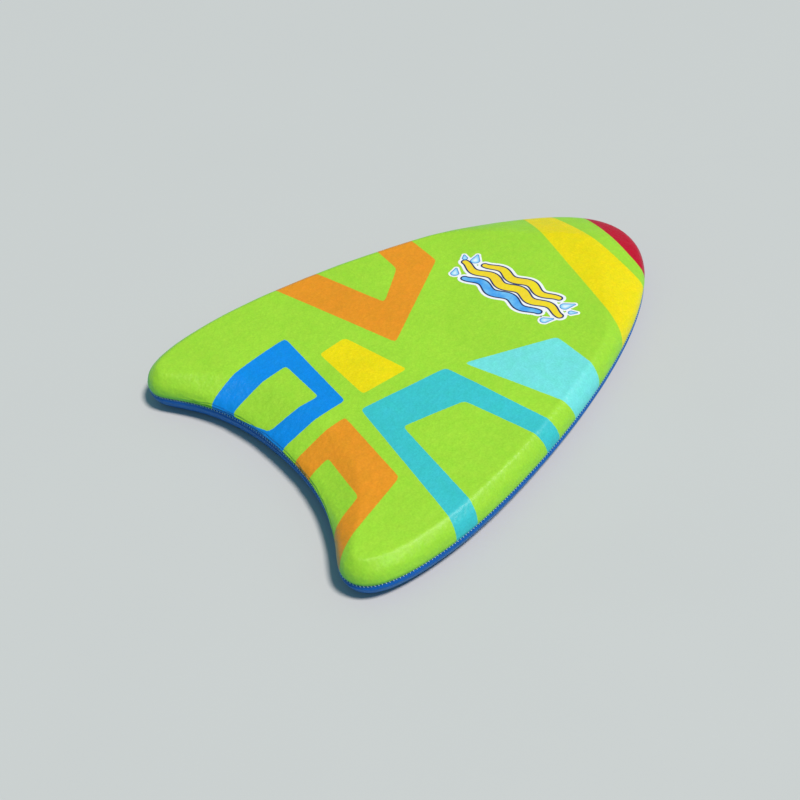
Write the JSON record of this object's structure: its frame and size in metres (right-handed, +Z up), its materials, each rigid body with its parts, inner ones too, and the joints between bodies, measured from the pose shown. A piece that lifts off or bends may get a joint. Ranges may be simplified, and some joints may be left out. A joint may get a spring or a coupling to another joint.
{
  "type": "kickboard swim float",
  "caption": "Child's kickboard float: flat foam board with a rounded nose, notched tail and a sewn fabric cover, green printed above and plain blue below.",
  "frame": {"origin": "centre of the board's bounding box, on the resting plane", "axes": "+Y along the board towards the nose, +X to the right seen from above with the nose away, +Z up through the thickness"},
  "size_m": [0.32, 0.42, 0.0356],
  "materials": {
    "foam": "matte expanded bead foam",
    "print_cloth": "lime knit polyester with a printed pattern of coloured bars",
    "plain_cloth": "plain royal blue knit polyester",
    "light_thread": "pale polyester sewing thread",
    "green_thread": "green polyester sewing thread",
    "dark_thread": "navy polyester sewing thread",
    "film": "satin printed transfer film"
  },
  "bodies": {
    "root": {"foam_core": "foam", "cover_top_panel": "print_cloth", "cover_bottom_panel": "plain_cloth", "seam_thread": "light_thread", "overlock_thread_upper": "green_thread", "overlock_thread_lower": "dark_thread", "tail_closing_thread": "green_thread", "emblem_transfer": "film"}
  },
  "joints": []
}
